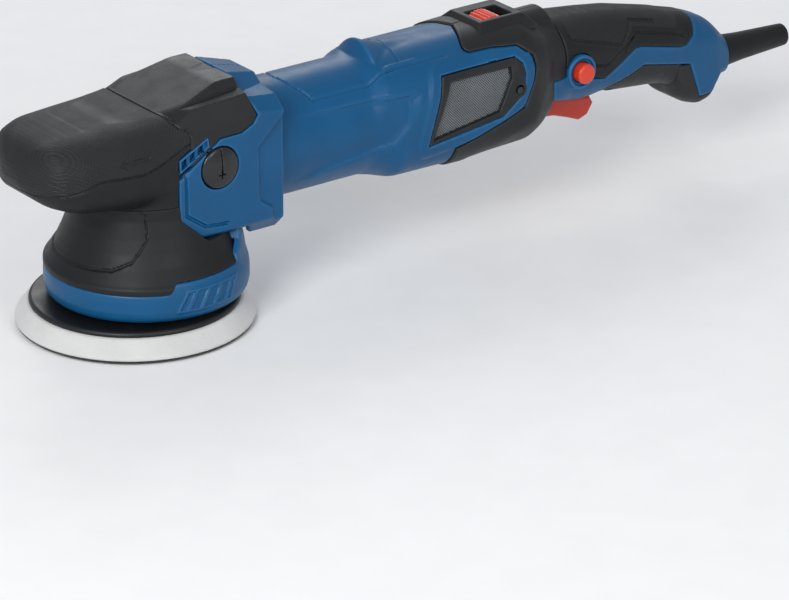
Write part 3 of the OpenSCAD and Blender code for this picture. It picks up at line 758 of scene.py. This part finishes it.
# ---------- motor barrel and rear shells ----------
# Stations of the barrel, the rear housing and the handle, as loft takes them
MOTOR_ROWS = [(40, 32, 49, 113, 32, 32), (126, 32, 49, 113, 32, 32), (134, 32.6, 48.2, 114.2, 26, 28),
              (142, 33.5, 47, 115.8, 29, 22), (190, 33.5, 47, 115.8, 28, 20), (230, 33, 48.2, 115.2, 22, 20),
              (238, 31, 51.5, 112.2, 20, 19), (246, 27.5, 56, 109.6, 19, 18), (262, 24, 58.5, 108, 19, 19),
              (288, 22.6, 59, 105.4, 19, 19), (306, 22.2, 57.6, 102.9, 19, 18), (330, 20.5, 55, 97.4, 18, 17),
              (339.5, 19.6, 54, 94.8, 16, 13), (343, 19, 46, 93.6, 16, 11), (351, 18.5, 40.6, 91.6, 16, 10),
              (360, 17.5, 38, 89.0, 15, 8), (368, 16.6, 40, 85.6, 14, 7), (371.5, 16, 45, 83, 13, 7),
              (374.5, 15.2, 50.4, 80.5, 13, 7), (381, 13.4, 51.2, 73.5, 11, 7),
              (386, 11.4, 51.2, 69.2, 8.5, 8), (396, 10, 52, 68.5, 8, 8)]
# Outlines from the side: the blue housing, the filter frame, its net and the wedge at the hump
SIDE_BLUE = [(60, 20), (175.9, 20), (175.9, 57.7), (176.6, 60.5), (208, 69.3), (221.6, 74), (227.7, 87.7),
             (229, 95), (228, 101.4), (220, 107.6), (204, 109), (190.8, 109), (184.2, 111.7), (176.9, 112.2),
             (176.9, 150), (60, 150)]
FILTER = [(157, 66), (168, 102.4), (216, 103.2), (220.5, 99), (222, 92), (220.5, 82), (207, 72)]
NET = [(161.5, 69.2), (173.5, 97.6), (212.5, 97.9), (212.5, 92), (204.5, 75.4)]
HUMP = [(132.5, 99), (136.5, 110.5), (143, 114), (156.4, 113.4), (160, 110), (163.5, 106), (163.5, 99)]


def body_form(x, ay, z):
    return loft(x, ay, z, MOTOR_ROWS, 1.6)


def motor_outer(x, ay, z):
    f = body_form(x, ay, z)
    # Raised hump over the brush gear
    crown = rail(x, [126, 131, 134.6, 140, 147, 158, 170, 186],
                 [109, 114.5, 122.4, 119.8, 117.6, 116.6, 115.8, 115], 0.8)
    hump = seq_max(1.5, z - crown + 0.033 * ay * ay, ay - 24)
    f = smin(f, smax(hump, 96 - z, 1), 1.0)
    # Wedge at the hump's side
    wedge = seq_max(0.8, outline(x, z, HUMP), ay - 25.5 + (z - 105) * 0.8)
    f = smin(f, smax(wedge, 20 - ay, 0.5), 0.7)
    # Collar against the gear head and the seam lines along the top
    f = smin(f, seq_max(0.8, np.hypot(ay, z - MOTOR_Z) - 33.2, x - 64), 2.5)
    seam = line_dist(x, ay, [(80, 0), (83, 10), (90.5, 22), (176, 22)]) + 30 * (z < 95)
    f = groove(f, seam, 0.8, 0.7)
    cross = np.abs(x - 150 + 0.12 * ay) + 30 * ((z < 105) | (ay > 19))
    return groove(f, cross, 0.8, 0.6)


LABEL_OUT = [(62, 101.5), (85, 102.5), (150, 101.5), (157, 97), (151, 80), (136, 67), (62, 58)]
LABEL_IN = [(60, 99), (147, 96.5), (145, 81), (136, 73), (60, 61)]


def label_recess(x, ay, z):
    """Depth of the stepped recess on the barrel's sides, fading out towards the head."""
    fade = step_in(x - 84, 26)
    deep = 1.5 * step_in(-outline(x, z, LABEL_OUT, -2) - 3.0, 6.5)
    rim = 0.4 * step_in(-outline(x, z, LABEL_IN), 0.9)
    return (deep + rim) * fade * (ay > 15)


def rear_split(x, ay, z):
    """Negative in the blue motor housing, positive in the black rear shells."""
    side = outline(x, z, SIDE_BLUE)
    top = np.maximum(x - 197.5 + 0.45 * ay, 104 - z)
    return smin(side, top, 3)


def motor_form(x, y, z):
    ay = np.abs(y)
    recess = label_recess(x, ay, z)
    f = motor_outer(x, ay, z) + recess
    frame_edge = outline(x, z, FILTER)
    # Raised rim around the filter, with a soft shoulder to the barrel
    f = f - 0.9 * step_in(6.5 - frame_edge, 3) * (ay > 20) * step_in(x - 150, 14)
    outer = smax(f, rear_split(x, ay, z) + 0.15, 1.0)
    shell = smax(outer, -(body_form(x, ay, z) + SHELL_WALL + recess), 0.5)
    # Flange that closes the head covers around the barrel
    flange = seq_max(0.5, head_body(x, ay, z) + 1.6, x - 61)
    shell = np.minimum(shell, smax(flange, -(np.hypot(ay, z - MOTOR_Z) - 30), 0.5))
    shell = smax(shell, 57.5 - x, 0.8)
    return smax(shell, -np.maximum(frame_edge, 25 - ay), 0.5)


def build_motor():
    barrel = solid("motor_barrel", motor_form, (57, -37.5, 43), (231, 37.5, 126), 0.85)
    finish_piece(barrel, "housing_blue", "motor_housing")


# Outlines from the side: the soft grip, the blue stripe, the tail hook and the trigger's mouth
GRIP = [(256, 140), (256, 81), (281, 74), (286, 72.7), (307, 85.4), (311, 85.5), (341, 78), (346, 78),
        (352, 83), (356, 89), (362, 140)]
TRIM = [(246, 70.2), (246, 80.8), (256, 80.4), (270, 76.6), (281, 73.7), (285.6, 72.7), (307, 85.4),
        (311, 85.5), (341, 78), (346, 78), (352, 82), (355.5, 89), (352, 96), (351, 140), (420, 140),
        (420, 40),
        (376, 53), (372, 50), (366, 44.6), (357.5, 44.6), (349.4, 65.8), (313.4, 74.2), (290.2, 65),
        (278, 58.5), (262, 64.6)]
HOOK = [(340, 20), (340, 66.5), (349.4, 65.8), (357.5, 44.6), (366, 44.6), (372, 50), (376, 53), (378, 20)]
MOUTH = [(243, 30), (246, 70.2), (262, 64.8), (278, 58.7), (284, 61.5), (296, 63), (300, 30)]
SCREW_Z = 85


def from_boss(x, z):
    """Distance from the middle of the lock button's boss."""
    return np.hypot(x - 265.8, z - 82.0)


def rear_outer(x, ay, z):
    """Rear housing, with a raised bumper behind the blue one that fades into the handle."""
    bumper = step_in(14 - rear_split(x, ay, z), 9) * step_in(262 - x - 14 * step_in(z - 104, 8), 16)
    return motor_outer(x, ay, z) - 1.1 * bumper


def rear_left_form(x, y, z):
    ay = np.abs(y)
    f = rear_outer(x, ay, z)
    split = rear_split(x, ay, z)
    outer = smax(f, -(split - 0.15), 1.4)
    f = smax(outer, -(body_form(x, ay, z) + SHELL_WALL), 0.5)
    for neighbour in (TRIM, GRIP, HOOK):
        f = smax(f, -outline(x, z, neighbour, 0.1), 0.5)
    # Openings for the dial plate, the trigger and the filter screw
    dial = seq_max(2, np.abs(x - 220) - 15.5, ay - 15.5, 110 - z)
    f = smax(f, -dial, 0.5)
    lever = seq_max(1, outline(x, z, [(241, 40), (241, 66), (256, 67.5), (291, 60), (293, 40)]), ay - 9.1)
    f = smax(smax(f, -lever, 0.5), -outline(x, z, MOUTH), 0.8)
    f = smax(f, -np.maximum(np.hypot(x - 217.5, z - SCREW_Z) - 3.4, 25 - ay), 0.4)
    return smax(f, y + 0.05, 0.2)


def build_rear():
    left = solid("rear_case_left", rear_left_form, (174, -36.5, 36), (385, 0.5, 120), 0.85)
    finish_pair(left, "plastic_black", "rear_shell_left")


def sleeve_hole(x, ay, z):
    """Hole at the end of the handle that the cord sleeve sits in."""
    return np.maximum(np.hypot(ay, z - CORD_Z) - 9.7, 374 - x)


def trim_form(x, y, z):
    """Blue stripe on both sides and the boss of the lock button on the left."""
    ay = np.abs(y)
    body = body_form(x, ay, z)
    rr = from_boss(x, z)
    boss = seq_max(1.5, rr - 9.6, ay - 27.6, y + 14)
    f = smin(smax(body - 0.5, outline(x, z, TRIM), 1.2), boss, 1.5)
    f = smax(f, -np.maximum(rr - 7.6, 26.3 + y), 0.6)
    shell = smax(f, -(body + SHELL_WALL), 0.5)
    shell = smax(shell, -np.maximum(rr - 6.0, y), 0.4)
    shell = smax(shell, x - 381.8, 0.8)
    return smax(shell, -sleeve_hole(x, ay, z), 0.4)


def build_trim():
    stripe = solid("handle_stripe", trim_form, (245, -29, 36), (394, 29, 111), 0.8)
    finish_piece(stripe, "housing_blue", "handle_trim")


# Grooves of the soft grip's steps, and the edge of its textured field
STEPS = [[(261.5, 101.4), (263.2, 99.4), (294.3, 90.2), (297.6, 90.4), (307.4, 99.3), (325.5, 94.9)],
         [(299.5, 85.8), (308.5, 93.5), (338.5, 86), (343.9, 83.6)],
         [(258, 88), (284, 80.6), (288, 81), (306.5, 92)]]
FIELD = [(262, 140), (262, 98), (294.5, 88.5), (298, 88.8), (308, 97), (338, 89), (350, 96), (350, 140)]


def grip_handle_form(x, y, z):
    ay = np.abs(y)
    body = body_form(x, ay, z)
    f = smax(body - 0.9, outline(x, z, GRIP) + 0.15, 1.2)
    for path in STEPS:
        f = groove(f, line_dist(x, z, path) + 30 * (ay < 8), 0.9, 0.8)
    shell = smax(f, -(body + 1.4), 0.4)
    return smax(shell, -np.maximum(from_boss(x, z) - 9.9, y), 0.5)


def build_handle_grip():
    obj = solid("soft_handle", grip_handle_form, (254, -26, 71), (364, 26, 110), 0.75)
    dress(obj, SOFT, SKIN)
    paint(obj, lambda x, y, z: outline(x, z, FIELD) < 0)
    finish_piece(obj, "rubber_black", "handle_grip")


def hook_form(x, y, z):
    ay = np.abs(y)
    body = body_form(x, ay, z)
    zone = outline(x, z, HOOK)
    f = smax(body, zone, 1.0)
    f = smax(f, -np.maximum(body + 2.6, zone + 1), 0.4)
    return smax(f, -sleeve_hole(x, ay, z), 0.4)


def build_hook():
    hook = solid("hook_shell", hook_form, (340, -21, 34), (390, 21, 69), 0.7)
    finish_piece(hook, "plastic_black", "tail_hook")


# ---------- small pieces ----------
def filter_left_form(x, y, z):
    """Frame with a screw tab and a sunken net."""
    ay = np.abs(y)
    base = body_form(x, ay, z)
    screw = np.hypot(x - 217.8, z - SCREW_Z)
    edge = smin(outline(x, z, FILTER), screw - 5, 2)
    net = outline(x, z, NET, 0.5)
    f = seq_max(0.7, base - 1.2, edge + 0.4, -(base + 4))
    f = smax(f, -np.maximum(net, -(base + 1.6)), 0.5)
    slope = np.maximum(4.0 - np.maximum(net, 0), 0) * step_in(-(net - 4), 1)
    f = smax(f, (base - 1.2) + 0.28 * slope, 0.5)
    f = smax(f, -np.maximum(screw - 2.6, -(base + 2.5)), 0.3)
    return smax(f, y + 20, 0.3)


def build_filters():
    left = solid("intake_filter_left", filter_left_form, (155, -36, 64), (225, -24, 105), 0.6)
    dress(left, BLACK, MESH)
    paint(left, lambda x, y, z: outline(x, z, NET) < -0.2)
    finish_pair(left, "plastic_black", "filter_left")


def bezel_form(x, y, z):
    """Raised plate with sloping sides and a window for the dial."""
    along, across = np.abs(x - 220.5), np.abs(y + 0.5)
    f = seq_max(0.7, z - 119.4, (along - 15.5 + (z - 118) * 0.9) * 0.75,
                (across - 14.5 + (z - 118) * 0.95) * 0.75, along - 20, across - 19.5, 111 - z)
    window = seq_max(1.0, np.abs(x - 219.5) - 10.5, np.abs(y - DIAL_Y) - 7.8, 90 - z)
    return smax(f, -window, 0.7)


def wheel_form(x, y, z):
    """Ribbed thumb wheel with a hole for its axle."""
    angle = np.arctan2(z - DIAL_Z, x - DIAL_X)
    r = np.hypot(x - DIAL_X, z - DIAL_Z)
    f = seq_max(0.5, r - 10.9 + 0.35 * (1 + np.cos(30 * angle)), np.abs(y - DIAL_Y) - 6.9)
    return smax(f, -(r - 2.3), 0.3)


def build_dial():
    bezel = solid("dial_bezel", bezel_form, (199, -21, 110), (242, 20, 120), 0.6)
    finish_piece(bezel, "plastic_black", "dial_plate")
    wheel = solid("thumb_wheel", wheel_form, (206, -10.5, 97.5), (229, 4.5, 120.5), 0.45)
    finish_piece(wheel, "button_orange", "speed_dial", body="speed_dial")


LEVER = [(247.5, 54.5), (247.5, 61.5), (252, 62.6), (262, 62), (286.5, 57.8), (289, 53.5), (285.2, 47.6),
         (279.5, 45.6), (272, 48.6), (262, 52), (253, 53)]


def trigger_form(x, y, z):
    """Lever with fine ridges on its finger face and a hole for its pin."""
    f = seq_max(2.2, outline(x, z, LEVER, 0.3), np.abs(y) - 8.4)
    smooth = (z > 52) | (np.abs(y) > 6) | (x > 280) | (x < 262)
    f = groove(f, np.abs(np.mod(x + 400, 3.2) - 1.6) + 30 * smooth, 0.7, 0.3)
    return smax(f, -(np.hypot(x - TRIGGER_X, z - TRIGGER_Z) - 2.3), 0.3)


def button_form(x, y, z):
    """Domed stud, hollow behind for its spring."""
    rr = from_boss(x, z)
    f = seq_max(1.4, rr - 5.6, -32 - y + rr * rr / 60, y + 16)
    return smax(f, -np.maximum(rr - 3.4, -27.5 - y), 0.3)


def sleeve_form(x, y, z):
    r = np.hypot(y, z - CORD_Z)
    out_r = rail(x, [370, 384, 389, 400, 432.5, 440], [9.5, 9.4, 8.9, 7.9, 6.3, 6.3], 1.0)
    return smax(seq_max(0.8, r - out_r, 376 - x, x - 432.4), -(r - 4.05), 0.5)


def build_controls():
    lever = solid("trigger_lever", trigger_form, (246, -9, 44), (290, 9, 64), 0.5)
    finish_piece(lever, "trigger_red", "trigger", body="trigger")
    stud = solid("lock_stud", button_form, (260, -33, 75), (273, -15, 89), 0.5)
    finish_piece(stud, "button_orange", "lock_button", body="lock_button")
    guard = solid("cord_guard", sleeve_form, (375.5, -10.5, 49), (433, 10.5, 71), 0.6)
    finish_piece(guard, "rubber_black", "cord_sleeve")


# Half sections of the pad's layers, as radius and height
FOAM_SECTION = [(0, 1.5), (61.2, 1.5), (62.2, 1.9), (62.5, 2.7), (62.3, 3.6), (60.6, 5.8), (58.4, 8.6),
                (56.6, 10.8), (55.9, 11.4), (54.8, 11.5), (0, 11.5)]
HOOK_SECTION = [(0, 0), (61, 0), (61.6, 0.4), (61.8, 1.0), (61.6, 1.5), (0, 1.5)]
PLATE_SECTION = [(0, 11.5), (54.4, 11.5), (55, 12), (55, 13.2), (54.2, 14.2), (53, 14.4), (50, 14.0),
                 (47, 13.9), (24, 13.9), (19, 15), (16, 16.5), (16, 20), (5, 20), (5, 13.5), (0, 13.5)]
ROUGHNESS = 0.00006


def roughen(obj, centre_x):
    """Moves the points of the foam's rim in or out a little."""
    rng = np.random.default_rng(7)
    for v in obj.data.vertices:
        r = math.hypot(v.co.x - centre_x, v.co.y)
        if r > 0.0555 and 0.0018 < v.co.z < 0.0113:
            d = rng.normal(0, ROUGHNESS)
            v.co.x += (v.co.x - centre_x) / r * d
            v.co.y += v.co.y / r * d


def build_pad():
    dense = []
    for (r0, z0), (r1, z1) in zip(FOAM_SECTION[:-1], FOAM_SECTION[1:]):
        steps = max(1, int(max(abs(r1 - r0) / 1.6, abs(z1 - z0) / 0.7)))
        dense += [(r0 + (r1 - r0) * k / steps, z0 + (z1 - z0) * k / steps) for k in range(steps)]
    dense.append(FOAM_SECTION[-1])
    foam = lathe("polishing_foam", dense, PAD_X, sides=360)
    roughen(foam, PAD_X * MM)
    finish_piece(foam, "foam_grey", "pad_foam", body="pad")
    finish_piece(lathe("hook_disc", HOOK_SECTION, PAD_X), "hook_fabric", "hook_face", body="pad")
    finish_piece(lathe("backing_disc", PLATE_SECTION, PAD_X), "plate_black", "backing_plate", body="pad")


build_pad()
build_shroud()
build_boot()
build_grip()
build_head()
build_motor()
build_rear()
build_trim()
build_handle_grip()
build_hook()
build_filters()
build_dial()
build_controls()

# CAD nodes that stay in view, or inside, take the material of their record slot
slots = {s["node"]: s["material_slot"] for s in frame["record"]["subparts"]}
for name, obj in frame["nodes"].items():
    obj.data.materials.clear()
    obj.data.materials.append(DARK_STEEL if name == "filter_screws" else BY_SLOT[slots[name]])

# ---------- floor, light and camera ----------
FLOOR_HALF = 6
FLOOR_Z = -0.0005
corners = [(x * FLOOR_HALF, y * FLOOR_HALF, FLOOR_Z) for x, y in ((-1, -1), (1, -1), (1, 1), (-1, 1))]
floor_mesh = bpy.data.meshes.new("floor")
floor_mesh.from_pydata(corners, [], [(0, 1, 2, 3)])
floor = bpy.data.objects.new("floor", floor_mesh)
bpy.context.scene.collection.objects.link(floor)
floor_mesh.materials.append(material("floor_paint", (0.86, 0.86, 0.86), rough=0.9, bump=0.0, vary=0.01))

world = bpy.data.worlds.new("studio")
bpy.context.scene.world = world
bpy.context.scene.view_settings.view_transform = "Standard"
world.use_nodes = True
background = world.node_tree.nodes["Background"]
background.inputs["Color"].default_value = (0.92, 0.95, 1.0, 1)
background.inputs["Strength"].default_value = 0.5


LIGHT_TARGET = Vector((0.15, 0, 0.08))


def area(name, at, size, power):
    """Square light that faces the middle of the tool."""
    light = bpy.data.lights.new(name, "AREA")
    light.size = size
    light.energy = power
    obj = bpy.data.objects.new(name, light)
    obj.location = at
    obj.rotation_euler = (LIGHT_TARGET - Vector(at)).to_track_quat("-Z", "Y").to_euler()
    bpy.context.scene.collection.objects.link(obj)


area("key", (-1.6, -1.0, 1.2), 0.9, 32)
area("side", (0.1, -2.2, 1.1), 0.8, 14)
area("rim", (0.9, 1.4, 1.1), 0.8, 8)

# Where the camera stands and how it is turned, in the row frame
CAMERA_AT = Vector((-1.1711, -1.7981, 0.9334))
CAMERA_RIGHT = Vector((0.804, -0.595, 0)).normalized()
CAMERA_VIEW = Vector((0.546, 0.738, -0.397)).normalized()
camera_up = CAMERA_RIGHT.cross(CAMERA_VIEW).normalized()
camera_back = -camera_up.cross(CAMERA_RIGHT)
lens = bpy.data.cameras.new("camera")
lens.lens = 205.3
lens.sensor_width = 36
lens.clip_end = 50
camera = bpy.data.objects.new("camera", lens)
bpy.context.scene.collection.objects.link(camera)
turn = Matrix((CAMERA_RIGHT, camera_up, camera_back)).transposed().to_4x4()
turn.translation = CAMERA_AT
camera.matrix_world = turn
bpy.context.scene.camera = camera
